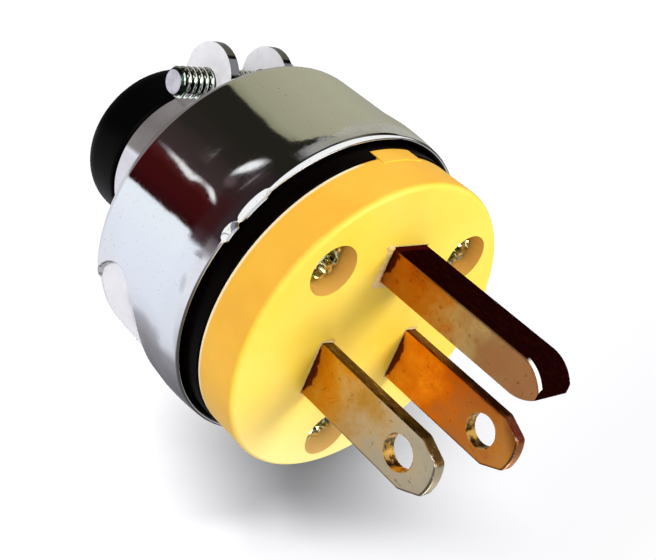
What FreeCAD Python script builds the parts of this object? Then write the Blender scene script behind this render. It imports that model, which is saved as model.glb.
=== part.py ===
import FreeCAD, Part
import math
import os

os.makedirs("parts", exist_ok=True)

V = FreeCAD.Vector
UP = V(0, 0, 1)
ORIGIN = V(0, 0, 0)

# Driving sizes in millimetres, +Z along the blades, origin on the axis at the rear end of the bushing

# Clearances between pieces
seat_gap = 0.1         # moulded piece round a metal one
thread_gap = 0.05      # screw in its tapped hole
slide_gap = 0.15       # pieces that slide together along the axis
hole_gap = 0.3         # screw through a plain hole

# Heights
face_z = 42.3          # flat front of the yellow body
flange_deep = 5.7      # yellow body seen from outside
body_deep = 10.5       # front face to the rear of the yellow body
rim_deep = 7.7         # front face to the front edge of the steel shell
shell_deep = 23.9      # front face to the rear of the steel shell
strap_mid_deep = 30.8  # front face to the middle of the clamp straps
strap_wide = 7.8       # clamp strap along the axis

# Yellow body
body_step = 0.15       # yellow body stands in from the cup's side
body_round = 0.65
body_lip_round = 0.3
spigot_gap = 0.2       # spigot in the cup
key_half_angle = 9.0
key_angle = 92.0
key_deep = 1.1
key_out = 0.1

# Face screws
face_screw_edge = 4.67  # upper pair, from the body's side
face_screw_angle = 40.3
face_screw_low_edge = 4.25
face_head_r = 2.7
face_head_tall = 2.4
face_head_sunk = 1.7
face_head_dome = 1.1
face_screw_r = 1.75
face_screw_past = 1.7
slot_wide = 0.9
slot_deep = 1.0
face_slot_turn_a = 62.0
face_slot_turn_b = 20.0
face_slot_turn_c = 140.0

# Blades
blade_pitch = 12.7
blade_wide = 6.35
blade_thick = 1.52
blade_out = 17.8
blade_line_y = -3.43
blade_hole_r = 1.85
blade_hole_out = 13.3
blade_tip_cut = 1.2
blade_tip_long = 2.9
blade_tip_bulge = 0.4
blade_corner = 0.9
blade_edge = 0.3
foot_past_screw = 3.1

# Ground pin
ground_wide = 5.06
ground_tall = 4.0
ground_top_y = 10.65
ground_out = 20.7
ground_wall = 1.0
ground_nose_long = 3.0
ground_nose_flat = 1.3
ground_edge = 0.45
ground_foot_wide = 7.0
ground_foot_reach = 10.0
ground_screw_reach = 6.4

# Terminal screws, their wire plates and the retainer
term_screw_r = 2.05
term_head_r = 3.5
term_head_tall = 2.3
term_screw_long = 5.0
plate_side = 7.4
plate_thick = 1.0
plate_corner = 1.2
plate_gap = 0.1
retainer_step = 0.3
retainer_thick = 2.0
retainer_window = 9.2
retainer_core_r = 3.0
fix_screw_edge = 2.95
fix_screw_angle = 60.36
fix_screw_r = 1.3
fix_head_r = 2.4
fix_head_tall = 1.5
fix_screw_long = 4.5

# Steel shell
shell_r = 18.8
shell_thick = 0.75
shell_shoulder = 1.5
shell_swell = 0.2
shell_swell_deep = 11.8
shell_straight_deep = 15.5
shell_rim_in = 0.1
shell_rim_round = 0.3
shell_hole_gap = 0.4
collar_r = 2.6
collar_tall = 1.3
panel_angle = -140.0
panel_mid_deep = 18.9
panel_half_wide = 9.8
panel_half_tall = 4.1
panel_sunk = 0.35

# Black insulating cup inside the shell
cup_gap = 0.25
cup_wall = 1.3
cup_floor = 1.3
cup_boss_r = 3.0

# Clamp halves and rubber bushing
strap_boss_gap = 0.28
strap_thick = 1.2
ear_gap = 7.0
ear_past_screw = 0.8
bend_out = 1.4
bend_in = 0.5
neck_half_angle = 36.0
tab_half_angle = 21.0
tab_r = 13.0
tab_thick = 1.0
clamp_screw_edge = 2.7  # screw's middle beyond the strap's arc
clamp_screw_r = 1.75
clamp_head_r = 3.4
clamp_head_tall = 2.5
clamp_screw_past = 4.5
clamp_tip_chamfer = 0.55
ear_collar_r = 2.6
ear_collar_tall = 0.9
bushing_collar_out = 1.4
bushing_collar_round = 3.0
bushing_front_round = 0.8
bushing_wall = 3.6
bushing_mouth = 0.8

# Sizes that follow from the ones above
cup_r = shell_r - shell_thick - cup_gap
cup_in_r = cup_r - cup_wall
body_r = cup_r - body_step
spigot_r = cup_in_r - spigot_gap
retainer_r = spigot_r - retainer_step
face_screw_r_out = body_r - face_screw_edge
face_screw_x = face_screw_r_out * math.cos(math.radians(face_screw_angle))
face_screw_y = face_screw_r_out * math.sin(math.radians(face_screw_angle))
face_screw_low_y = face_screw_low_edge - body_r
fix_screw_x = (spigot_r - fix_screw_edge) * math.cos(math.radians(fix_screw_angle))
fix_screw_y = -(spigot_r - fix_screw_edge) * math.sin(math.radians(fix_screw_angle))
plate_flat = plate_side / 2 - plate_corner
plate_reach = cup_in_r - plate_gap - plate_corner
term_screw_x = math.sqrt(plate_reach ** 2 - (plate_flat - blade_line_y) ** 2) - plate_flat
strap_out_r = face_screw_r_out - cup_boss_r - strap_boss_gap
strap_in_r = strap_out_r - strap_thick
clamp_screw_y = strap_out_r + clamp_screw_edge
ear_y = clamp_screw_y + ear_past_screw
shell_hole_r = strap_out_r + shell_hole_gap
flange_z = face_z - flange_deep
body_z = face_z - body_deep
rim_z = face_z - rim_deep
shell_z = face_z - shell_deep
shell_in_z = shell_z + shell_thick
cup_floor_z = shell_in_z + tab_thick + 0.05
strap_mid_z = face_z - strap_mid_deep
strap_low_z = strap_mid_z - strap_wide / 2
strap_top_z = strap_mid_z + strap_wide / 2
ear_r = strap_wide / 2
bushing_r = strap_in_r - seat_gap
bushing_collar_r = bushing_r + bushing_collar_out
bushing_bore_r = bushing_r - bushing_wall
bushing_collar_z = strap_low_z - seat_gap
retainer_z = body_z - retainer_thick
blade_foot_z = body_z
face_points = {
    "a": (-face_screw_x, face_screw_y, face_slot_turn_a),
    "b": (face_screw_x, face_screw_y, face_slot_turn_b),
    "c": (0.0, face_screw_low_y, face_slot_turn_c),
}


def rod(radius, height, x=0.0, y=0.0, z=0.0, axis=UP):
    return Part.makeCylinder(radius, height, V(x, y, z), axis)


def block(x0, y0, z0, x1, y1, z1):
    return Part.makeBox(x1 - x0, y1 - y0, z1 - z0, V(x0, y0, z0))


def sector(inner, outer, z0, z1, middle, half):
    # Ring segment about the axis
    ring = Part.makeCylinder(outer, z1 - z0, V(0, 0, z0), UP, 2 * half)
    ring = ring.cut(rod(inner, z1 - z0 + 2, z=z0 - 1))
    ring.rotate(ORIGIN, UP, middle - half)
    return ring


def prism(points, direction):
    wire = Part.makePolygon(points + [points[0]])
    return Part.Face(wire).extrude(direction)


def round_edges(shape, radius, test):
    chosen = [edge for edge in shape.Edges if test(edge)]
    return shape.makeFillet(radius, chosen)


def is_circle_at(edge, radius, z):
    if edge.Curve.TypeId != "Part::GeomCircle":
        return False
    centre = edge.Curve.Center
    same_radius = abs(edge.Curve.Radius - radius) < 0.001
    on_axis = abs(centre.x) < 0.001 and abs(centre.y) < 0.001
    return same_radius and on_axis and abs(centre.z - z) < 0.001


def pan_head_screw(head_r, head_tall, shank_r, shank_long, dome, tip):
    # Seat plane at z = 0, head above, shank below, slot along x
    head = rod(head_r, head_tall)
    head = round_edges(head, dome, lambda edge: is_circle_at(edge, head_r, head_tall))
    slot = block(-head_r - 1, -slot_wide / 2, head_tall - slot_deep, head_r + 1, slot_wide / 2, head_tall + 1)
    shank = rod(shank_r, shank_long, z=-shank_long)
    shank = shank.makeChamfer(tip, [edge for edge in shank.Edges if is_circle_at(edge, shank_r, -shank_long)])
    return head.cut(slot).fuse(shank).removeSplitter()


# Yellow front body
body = rod(body_r, flange_deep, z=flange_z)
body = round_edges(body, body_round, lambda edge: is_circle_at(edge, body_r, face_z))
body = round_edges(body, body_lip_round, lambda edge: is_circle_at(edge, body_r, flange_z))
spigot = rod(spigot_r, body_deep - flange_deep, z=body_z)
key = sector(spigot_r - 1, body_r + key_out, flange_z - key_deep, flange_z + 1, key_angle, key_half_angle)
body = body.fuse(spigot).fuse(key).removeSplitter()
head_seat_z = face_z - face_head_sunk - face_head_tall
for name, (x, y, turn) in face_points.items():
    body = body.cut(rod(face_head_r + slide_gap, face_z - head_seat_z + 1, x, y, head_seat_z))
    body = body.cut(rod(face_screw_r + slide_gap, body_deep + 2, x, y, body_z - 1))


def blade_shape(side, gap):
    # Blade with its bent foot; side is -1 for neutral and +1 for hot, gap grows it for its pocket
    middle = side * blade_pitch / 2
    half_t = blade_thick / 2 + gap
    half_w = blade_wide / 2 + gap
    tip_z = face_z + blade_out + gap
    cut_z = face_z + blade_out - blade_tip_long
    tip_y = blade_wide / 2 - blade_tip_cut
    x0 = middle - half_t
    left_low = V(x0, blade_line_y - half_w, blade_foot_z - gap)
    left_high = V(x0, blade_line_y - half_w, cut_z)
    tip_left = V(x0, blade_line_y - tip_y, tip_z - blade_tip_bulge)
    tip_mid = V(x0, blade_line_y, tip_z)
    tip_right = V(x0, blade_line_y + tip_y, tip_z - blade_tip_bulge)
    right_high = V(x0, blade_line_y + half_w, cut_z)
    right_low = V(x0, blade_line_y + half_w, blade_foot_z - gap)
    outline = Part.Wire([
        Part.makeLine(left_low, left_high),
        Part.makeLine(left_high, tip_left),
        Part.Arc(tip_left, tip_mid, tip_right).toShape(),
        Part.makeLine(tip_right, right_high),
        Part.makeLine(right_high, right_low),
        Part.makeLine(right_low, left_low),
    ])
    strip = Part.Face(outline).extrude(V(2 * half_t, 0, 0))
    strip = round_edges(strip, blade_corner, lambda edge: edge.BoundBox.XLength > half_t and edge.BoundBox.ZMin > cut_z - 1)
    foot_end = side * (term_screw_x + foot_past_screw + gap)
    foot_start = middle - side * (blade_thick / 2 + gap)
    foot = block(
        min(foot_end, foot_start), blade_line_y - half_w, blade_foot_z - gap,
        max(foot_end, foot_start), blade_line_y + half_w, blade_foot_z + blade_thick + gap)
    return strip.fuse(foot).removeSplitter()


def make_blade(side):
    blade = blade_shape(side, 0.0)

    def rim_edge(edge):
        box = edge.BoundBox
        return box.XLength < 0.001 and box.ZMax > face_z
    blade = round_edges(blade, blade_edge, rim_edge)
    hole_z = face_z + blade_hole_out
    hole = rod(blade_hole_r, blade_pitch, side * blade_pitch / 2 - blade_pitch / 2, blade_line_y, hole_z, V(1, 0, 0))
    blade = blade.cut(hole)
    x = side * term_screw_x
    blade = blade.cut(rod(term_screw_r + thread_gap, blade_thick + 2, x, blade_line_y, blade_foot_z - 1))
    outer_x = side * (blade_pitch / 2 + blade_thick / 2)

    def bend_edge(edge):
        box = edge.BoundBox
        level = box.YLength > blade_wide / 2 and box.ZLength < 0.001 and box.XLength < 0.001
        inside = abs(box.XMin + side * blade_thick / 2 - side * blade_pitch / 2) < 0.001
        return level and inside and abs(box.ZMin - blade_foot_z) < 0.001
    blade = round_edges(blade, blade_thick * 0.6, bend_edge)
    return blade


neutral_blade = make_blade(-1)
hot_blade = make_blade(1)


def ground_outer(inset):
    # Side outline of the pin, pulled in by the wall on the outside and at the nose
    top = ground_top_y - inset
    low = ground_top_y - ground_tall
    tip = face_z + ground_out - inset
    start = face_z + ground_out - ground_nose_long
    mid_y = ground_top_y - ground_tall * 0.58
    half_flat = ground_nose_flat / 2
    half_wide = ground_wide / 2 - inset
    bottom = body_z
    reach = inset * 0.4
    a = V(-half_wide, low, bottom)
    b = V(-half_wide, low, start)
    c = V(-half_wide, mid_y - half_flat, tip)
    d = V(-half_wide, mid_y + half_flat, tip)
    e = V(-half_wide, top, start - reach)
    f = V(-half_wide, top, bottom)
    bow_low = V(-half_wide, low + (mid_y - half_flat - low) * 0.36, start + (tip - start) * 0.66)
    bow_top = V(-half_wide, top - (top - mid_y - half_flat) * 0.32, start + (tip - start) * 0.60)
    wire = Part.Wire([
        Part.makeLine(a, b),
        Part.Arc(b, bow_low, c).toShape(),
        Part.makeLine(c, d),
        Part.Arc(d, bow_top, e).toShape(),
        Part.makeLine(e, f),
        Part.makeLine(f, a),
    ])
    return Part.Face(wire).extrude(V(2 * half_wide, 0, 0))


ground_block = ground_outer(0.0)


def ground_long_edge(edge):
    box = edge.BoundBox
    upright = box.ZLength > ground_out / 2 and box.XLength < 0.001 and box.YLength < 0.001
    return upright and abs(box.YMin - ground_top_y) < 0.001


ground_block = round_edges(ground_block, ground_edge, ground_long_edge)
ground_core = ground_outer(ground_wall)
core_low = block(-ground_wide / 2 + ground_wall, ground_top_y - ground_tall - 1, body_z - 1,
                 ground_wide / 2 - ground_wall, ground_top_y - ground_wall, face_z + ground_out - ground_nose_long)
ground_pin = ground_block.cut(ground_core).cut(core_low)
ground_foot_y = ground_top_y - ground_foot_reach
ground_screw_y = ground_top_y - ground_screw_reach
ground_foot = block(-ground_foot_wide / 2, ground_foot_y, body_z, ground_foot_wide / 2, ground_top_y, body_z + ground_wall)
ground_pin = ground_pin.fuse(ground_foot)
ground_pin = ground_pin.cut(rod(term_screw_r + thread_gap, ground_wall + 2, 0, ground_screw_y, body_z - 1))
ground_pin = ground_pin.removeSplitter()

# Pockets of the yellow body for the blades and the ground pin
body = body.cut(blade_shape(-1, seat_gap)).cut(blade_shape(1, seat_gap))
channel_x = ground_wide / 2 + seat_gap
channel = block(-channel_x, ground_top_y - ground_tall - seat_gap, body_z - 1, channel_x, ground_top_y + seat_gap, face_z + 1)
tongue_x = ground_wide / 2 - ground_wall - seat_gap
tongue_low_y = ground_top_y - ground_tall - seat_gap
tongue = block(-tongue_x, tongue_low_y, body_z + ground_wall + seat_gap, tongue_x,
               ground_top_y - ground_wall - seat_gap, face_z)
foot_pocket = block(-ground_foot_wide / 2 - seat_gap, ground_foot_y - seat_gap, body_z - 1,
                    ground_foot_wide / 2 + seat_gap, ground_top_y + seat_gap, body_z + ground_wall + seat_gap)
body = body.cut(channel.cut(tongue)).cut(foot_pocket)
term_points = {
    "neutral": (-term_screw_x, blade_line_y, blade_thick),
    "hot": (term_screw_x, blade_line_y, blade_thick),
    "ground": (0.0, ground_screw_y, ground_wall),
}
screw_room = term_screw_long - plate_thick + 0.6
for name, (x, y, thick) in term_points.items():
    body = body.cut(rod(term_screw_r + hole_gap, screw_room, x, y, body_z))
for side in (-1, 1):
    body = body.cut(rod(fix_screw_r + thread_gap, fix_screw_long - retainer_thick + 0.5, side * fix_screw_x, fix_screw_y, body_z))

# Black retainer plate behind the yellow body
retainer = rod(retainer_r, retainer_thick, z=retainer_z)
for name, (x, y, thick) in term_points.items():
    half = retainer_window / 2
    retainer = retainer.cut(block(x - half, y - half, retainer_z - 1, x + half, y + half, body_z + 1))
for name, (x, y, turn) in face_points.items():
    retainer = retainer.cut(rod(face_screw_r + hole_gap, retainer_thick + 2, x, y, retainer_z - 1))
for side in (-1, 1):
    retainer = retainer.cut(rod(fix_screw_r + hole_gap, retainer_thick + 2, side * fix_screw_x, fix_screw_y, retainer_z - 1))

# Terminal screws, their plates and the two retainer screws, all facing the cord end
term_screws = {}
wire_plates = {}
for name, (x, y, thick) in term_points.items():
    half = plate_side / 2
    plate = block(x - half, y - half, body_z - plate_thick, x + half, y + half, body_z)
    plate = round_edges(plate, plate_corner, lambda edge: edge.BoundBox.ZLength > plate_thick * 0.9)
    wire_plates[name] = plate.cut(rod(term_screw_r + hole_gap, plate_thick + 2, x, y, body_z - plate_thick - 1))
    screw = pan_head_screw(term_head_r, term_head_tall, term_screw_r, term_screw_long, 0.9, 0.4)
    screw.rotate(ORIGIN, V(1, 0, 0), 180)
    screw.translate(V(x, y, body_z - plate_thick))
    term_screws[name] = screw
fix_screws = {}
for name, side in (("left", -1), ("right", 1)):
    screw = pan_head_screw(fix_head_r, fix_head_tall, fix_screw_r, fix_screw_long, 0.5, 0.4)
    screw.rotate(ORIGIN, V(1, 0, 0), 180)
    screw.translate(V(side * fix_screw_x, fix_screw_y, retainer_z))
    fix_screws[name] = screw

# Face screws from the front into the rear wall of the shell
face_screws = {}
face_screw_long = head_seat_z - shell_z + face_screw_past
for name, (x, y, turn) in face_points.items():
    screw = pan_head_screw(face_head_r, face_head_tall, face_screw_r, face_screw_long, face_head_dome, 0.4)
    screw.rotate(ORIGIN, UP, turn)
    screw.translate(V(x, y, head_seat_z))
    face_screws[name] = screw


# Steel shell, a drawn cup open to the front
def cup_solid(inset, low_z, shoulder):
    # Solid of revolution of the shell outline pulled in by the sheet
    wide = shell_r - inset
    straight_z = face_z - shell_straight_deep
    swell_z = face_z - shell_swell_deep
    swell = Part.BSplineCurve()
    swell.interpolate(
        Points=[V(wide, 0, straight_z), V(wide + shell_swell, 0, swell_z), V(wide - shell_rim_in, 0, rim_z)],
        InitialTangent=V(0, 0, 1), FinalTangent=V(-0.16, 0, 1))
    corner = V(wide - shoulder * (1 - math.sqrt(0.5)), 0, low_z + shoulder * (1 - math.sqrt(0.5)))
    wire = Part.Wire([
        Part.makeLine(V(0, 0, low_z), V(wide - shoulder, 0, low_z)),
        Part.Arc(V(wide - shoulder, 0, low_z), corner, V(wide, 0, low_z + shoulder)).toShape(),
        Part.makeLine(V(wide, 0, low_z + shoulder), V(wide, 0, straight_z)),
        swell.toShape(),
        Part.makeLine(V(wide - shell_rim_in, 0, rim_z), V(0, 0, rim_z)),
        Part.makeLine(V(0, 0, rim_z), V(0, 0, low_z)),
    ])
    return Part.Face(wire).revolve(ORIGIN, UP, 360)


shell = cup_solid(0.0, shell_z, shell_shoulder).cut(cup_solid(shell_thick, shell_in_z, shell_shoulder - shell_thick))
rim_out_r = shell_r - shell_rim_in
shell = round_edges(shell, shell_rim_round, lambda edge: is_circle_at(edge, rim_out_r, rim_z))
shell = shell.cut(rod(shell_hole_r, shell_thick + 2, z=shell_z - 1))
for name, (x, y, turn) in face_points.items():
    shell = shell.fuse(rod(collar_r, collar_tall, x, y, shell_z - collar_tall))
for name, (x, y, turn) in face_points.items():
    shell = shell.cut(rod(face_screw_r + thread_gap, collar_tall + shell_thick + 2, x, y, shell_z - collar_tall - 1))
panel_z = face_z - panel_mid_deep
panel_wide_end = V(shell_r * 0.5, panel_half_wide, panel_z)
panel_top_end = V(shell_r * 0.5, 0, panel_z + panel_half_tall)
panel_oval = Part.Ellipse(panel_wide_end, panel_top_end, V(shell_r * 0.5, 0, panel_z))
panel = Part.Face(Part.Wire(panel_oval.toShape())).extrude(V(shell_r, 0, 0))
panel.rotate(ORIGIN, UP, panel_angle)
panel_low_z = panel_z - panel_half_tall - 1
panel_ring = rod(shell_r + 2, 2 * panel_half_tall + 2, z=panel_low_z)
panel_ring = panel_ring.cut(rod(shell_r - panel_sunk, 2 * panel_half_tall + 4, z=panel_low_z - 1))
shell = shell.cut(panel.common(panel_ring))
shell = shell.removeSplitter()

# Black insulating cup
cup = rod(cup_r, flange_z - cup_floor_z, z=cup_floor_z)
cup = cup.cut(rod(cup_in_r, flange_z - cup_floor_z, z=cup_floor_z + cup_floor))
cup = round_edges(cup, 0.8, lambda edge: is_circle_at(edge, cup_r, cup_floor_z))
for name, (x, y, turn) in face_points.items():
    cup = cup.fuse(rod(cup_boss_r, cup_floor_z - shell_in_z + cup_floor / 2, x, y, shell_in_z))
for name, (x, y, turn) in face_points.items():
    cup = cup.cut(rod(face_screw_r + hole_gap, cup_floor * 4, x, y, shell_in_z - 1))
cup = cup.cut(rod(bushing_r + slide_gap, cup_floor + 2, z=cup_floor_z - 1))
key_notch = sector(cup_in_r - 1, cup_r + 1, flange_z - key_deep - slide_gap, flange_z + 1, key_angle, key_half_angle + 0.5)
cup = cup.cut(key_notch).removeSplitter()


# Clamp halves; the near one is tapped, the far one has plain holes
def clamp_half(side, tapped):
    band = rod(strap_out_r, strap_wide, z=strap_low_z).cut(rod(strap_in_r, strap_wide + 2, z=strap_low_z - 1))
    keep = block(-strap_out_r - 1, -strap_out_r - 1, strap_low_z - 1, -ear_gap / 2, strap_out_r + 1, strap_top_z + 1)
    band = band.common(keep)
    ear_start = math.sqrt(strap_in_r ** 2 - (ear_gap / 2) ** 2)
    ear_end = ear_y + ear_r
    ear_x = -ear_gap / 2 - strap_thick
    up_ear = block(ear_x, ear_start, strap_low_z, -ear_gap / 2, ear_end, strap_top_z)
    low_ear = block(ear_x, -ear_end, strap_low_z, -ear_gap / 2, -ear_start, strap_top_z)
    half = band.fuse(up_ear).fuse(low_ear).removeSplitter()

    def bend_inside(edge):
        box = edge.BoundBox
        upright = box.ZLength > strap_wide * 0.9 and box.XLength < 0.001 and box.YLength < 0.001
        return upright and abs(box.XMin + ear_gap / 2) < 0.01 and abs(abs(box.YMin) - ear_start) < 0.3

    def bend_outside(edge):
        box = edge.BoundBox
        upright = box.ZLength > strap_wide * 0.9 and box.XLength < 0.001 and box.YLength < 0.001
        return upright and abs(box.XMin - ear_x) < 0.01 and abs(box.YMin) < strap_out_r
    half = round_edges(half, bend_out, bend_inside)
    half = round_edges(half, bend_in, bend_outside)
    span = block(-strap_out_r, -ear_y, strap_low_z, 0, ear_y, strap_top_z)
    top_end = rod(ear_r, strap_out_r, -strap_out_r, ear_y, strap_mid_z, V(1, 0, 0))
    low_end = rod(ear_r, strap_out_r, -strap_out_r, -ear_y, strap_mid_z, V(1, 0, 0))
    half = half.common(span.fuse(top_end).fuse(low_end))
    tab_top = shell_in_z + tab_thick
    half = half.fuse(sector(strap_in_r, strap_out_r, strap_top_z - 1, tab_top, 180, neck_half_angle))
    half = half.fuse(sector(strap_in_r, tab_r, shell_in_z, tab_top, 180, tab_half_angle))
    for y in (-clamp_screw_y, clamp_screw_y):
        if tapped:
            half = half.fuse(rod(ear_collar_r, ear_collar_tall, -ear_gap / 2, y, strap_mid_z, V(1, 0, 0)))
        hole_r = clamp_screw_r + (thread_gap if tapped else hole_gap)
        half = half.cut(rod(hole_r, strap_thick + 4, ear_x - 2, y, strap_mid_z, V(1, 0, 0)))
    half = half.removeSplitter()
    if side > 0:
        half.rotate(ORIGIN, UP, 180)
    return half


clamp_left = clamp_half(-1, True)
clamp_right = clamp_half(1, False)

# Clamp screws along x, heads outside the far half
clamp_screws = {}
seat_x = ear_gap / 2 + strap_thick
clamp_screw_long = 2 * seat_x + clamp_screw_past
for name, y in (("top", clamp_screw_y), ("low", -clamp_screw_y)):
    screw = pan_head_screw(clamp_head_r, clamp_head_tall, clamp_screw_r, clamp_screw_long, 1.0, clamp_tip_chamfer)
    screw.rotate(ORIGIN, V(0, 1, 0), 90)
    screw.translate(V(seat_x, y, strap_mid_z))
    clamp_screws[name] = screw

# Rubber cord bushing
bushing = rod(bushing_collar_r, bushing_collar_z)
bushing = round_edges(bushing, bushing_collar_round, lambda edge: is_circle_at(edge, bushing_collar_r, 0.0))
bushing = round_edges(bushing, bushing_front_round, lambda edge: is_circle_at(edge, bushing_collar_r, bushing_collar_z))
bushing = bushing.fuse(rod(bushing_r, cup_floor_z + cup_floor - bushing_collar_z, z=bushing_collar_z))
bushing = bushing.cut(rod(bushing_bore_r, face_z, z=-1))
bushing = round_edges(bushing, bushing_mouth, lambda edge: is_circle_at(edge, bushing_bore_r, 0.0))
bushing = bushing.removeSplitter()

pieces = {
    "steel_shell": shell,
    "insulating_cup": cup,
    "front_body": body,
    "blade_retainer": retainer,
    "neutral_blade": neutral_blade,
    "hot_blade": hot_blade,
    "ground_pin": ground_pin,
    "face_screw_left": face_screws["a"],
    "face_screw_right": face_screws["b"],
    "face_screw_low": face_screws["c"],
    "neutral_screw": term_screws["neutral"],
    "hot_screw": term_screws["hot"],
    "ground_screw": term_screws["ground"],
    "neutral_plate": wire_plates["neutral"],
    "hot_plate": wire_plates["hot"],
    "ground_plate": wire_plates["ground"],
    "retainer_screw_left": fix_screws["left"],
    "retainer_screw_right": fix_screws["right"],
    "cord_bushing": bushing,
    "clamp_half_left": clamp_left,
    "clamp_half_right": clamp_right,
    "clamp_screw_top": clamp_screws["top"],
    "clamp_screw_low": clamp_screws["low"],
}
for name, shape in pieces.items():
    box = shape.BoundBox
    print(name, shape.isValid(), len(shape.Solids), round(shape.Volume, 2),
          [round(value, 2) for value in (box.XMin, box.XMax, box.YMin, box.YMax, box.ZMin, box.ZMax)])
    shape.exportStep("parts/" + name + ".step")
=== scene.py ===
import math
import random

import bmesh
import bpy
from mathutils import Matrix, Vector


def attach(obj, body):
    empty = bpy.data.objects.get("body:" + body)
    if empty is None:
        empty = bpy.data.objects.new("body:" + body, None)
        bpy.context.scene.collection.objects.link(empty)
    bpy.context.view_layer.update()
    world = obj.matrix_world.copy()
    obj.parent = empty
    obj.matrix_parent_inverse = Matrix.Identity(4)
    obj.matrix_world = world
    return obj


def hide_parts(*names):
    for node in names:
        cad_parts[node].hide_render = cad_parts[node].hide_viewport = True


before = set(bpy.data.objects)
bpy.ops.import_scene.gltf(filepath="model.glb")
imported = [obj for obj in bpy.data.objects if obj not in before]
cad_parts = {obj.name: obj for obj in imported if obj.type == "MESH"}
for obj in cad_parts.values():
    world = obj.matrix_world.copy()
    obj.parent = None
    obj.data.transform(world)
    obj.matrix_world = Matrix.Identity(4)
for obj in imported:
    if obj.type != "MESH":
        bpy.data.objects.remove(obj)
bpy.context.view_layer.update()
mm = 0.001  # every size below is in millimetres
print("frame loaded with", len(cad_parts), "pieces")


def toLinear(hexText):
    # sRGB hex to the linear colour that a shader socket takes
    parts = [int(hexText[i:i + 2], 16) / 255 for i in (1, 3, 5)]
    return tuple(c / 12.92 if c <= 0.04045 else ((c + 0.055) / 1.055) ** 2.4 for c in parts) + (1.0,)


def joinInputs(tree, node, links):
    # Each value is a node, a socket, a hex colour or a plain value; a colour mix gives its third output
    for name, value in links.items():
        if name in ("From", "To"):  # both ends of a range
            node.inputs[name + " Min"].default_value, node.inputs[name + " Max"].default_value = value
            continue
        if isinstance(value, bpy.types.Node):
            value = value.outputs[2 if value.bl_idname == "ShaderNodeMix" else 0]
        if isinstance(value, bpy.types.NodeSocket):
            tree.links.new(value, node.inputs[name])
        else:
            node.inputs[name].default_value = toLinear(value) if isinstance(value, str) else value


def addNode(tree, kind, links=None, settings=None, stops=None):
    # stops are the (place, hex) pairs of a ramp
    node = tree.nodes.new("ShaderNode" + kind)
    for name, value in (settings or {}).items():
        setattr(node, name, value)
    joinInputs(tree, node, links or {})
    if stops:
        ramp = node.color_ramp
        while len(ramp.elements) < len(stops):
            ramp.elements.new(0.5)
        for element, (place, hexText) in zip(ramp.elements, stops):
            element.position = place
            element.color = toLinear(hexText)
    return node


# Settings that many nodes share
smooth = {"interpolation_type": "SMOOTHSTEP"}
times = {"operation": "MULTIPLY"}
timesPlus = {"operation": "MULTIPLY_ADD"}
larger = {"operation": "MAXIMUM"}
unsigned = {"operation": "ABSOLUTE"}
lengthOf = {"operation": "LENGTH"}
ofColours = {"data_type": "RGBA"}


def startTree(holder):
    holder.use_nodes = True
    holder.node_tree.nodes.clear()
    return holder.node_tree


def startMaterial(name, shaderValues=None):
    material = bpy.data.materials.new(name)
    tree = startTree(material)
    output = addNode(tree, "OutputMaterial")
    shader = addNode(tree, "BsdfPrincipled", shaderValues)
    joinInputs(tree, output, {"Surface": shader})
    place = addNode(tree, "TexCoord").outputs["Object"]
    inMm = addNode(tree, "VectorMath", {0: place, "Scale": 1 / mm}, {"operation": "SCALE"})
    return material, tree, shader, inMm.outputs[0]


def addObject(name, mesh, materials=()):
    for material in materials:
        mesh.materials.append(material)
    obj = bpy.data.objects.new(name, mesh)
    bpy.context.scene.collection.objects.link(obj)
    return obj


def joinRings(bm, pairs):
    # Skins each pair of rings with four-sided faces
    for one, two in pairs:
        for j in range(len(one)):
            k = (j + 1) % len(one)
            bm.faces.new((one[j], one[k], two[k], two[j]))


def closeMesh(name, bm):
    bmesh.ops.recalc_face_normals(bm, faces=bm.faces)
    mesh = bpy.data.meshes.new(name)
    bm.to_mesh(mesh)
    bm.free()
    return mesh


# Camera

camera = {"place": (-88.315, 55.072, 103.259), "lens": 64.22, "sensor": 36.0, "clip": (0.005, 20),
          "right": (0.7000373, 0.3550033, 0.6196131), "up": (0.0716231, 0.8283966, -0.5555440),
          "back": (-0.7105054, 0.4332801, 0.5544822)}


def makeCamera():
    data = bpy.data.cameras.new("camera")
    data.lens = camera["lens"]
    data.sensor_width = camera["sensor"]
    data.clip_start, data.clip_end = camera["clip"]
    obj = bpy.data.objects.new("camera", data)
    axes = Matrix([camera["right"], camera["up"], camera["back"]]).transposed().to_4x4()
    obj.matrix_world = Matrix.Translation(Vector(camera["place"]) * mm) @ axes
    bpy.context.scene.collection.objects.link(obj)
    bpy.context.scene.camera = obj


makeCamera()

# Studio: pale floor, plain world, soft lamps

# The floor is plain white from whiteFrom to whiteTo onwards, well outside the shadow
studio = {"middle": (0, 0, 32), "roomLight": 0.64, "overhead": "#D4D6D8", "overheadFrom": (0.88, 0.97),
          "floorShade": "#5A5A5B", "floorHalf": 4000, "whiteFrom": 200, "whiteTo": 350}
# turn is the compass angle, rise the height angle, roll the turn of the lamp in its own plane; away, side
# and low are in mm; level is how bright a white card would look that faces the lamp
lamps = {"keyLamp": {"turn": 58, "rise": 58, "roll": 0, "away": 500, "side": 220, "low": 220, "level": 0.61},
         "faceLamp": {"turn": 300, "rise": 34, "roll": 0, "away": 500, "side": 260, "low": 260, "level": 0.2},
         "sideLamp": {"turn": 150, "rise": 18, "roll": 0, "away": 500, "side": 300, "low": 300, "level": 0.23},
         "floorLamp": {"turn": 135.5, "rise": 23.4, "roll": -40, "away": 4000, "side": 1700, "low": 210,
                       "level": 25.6}}

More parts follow.
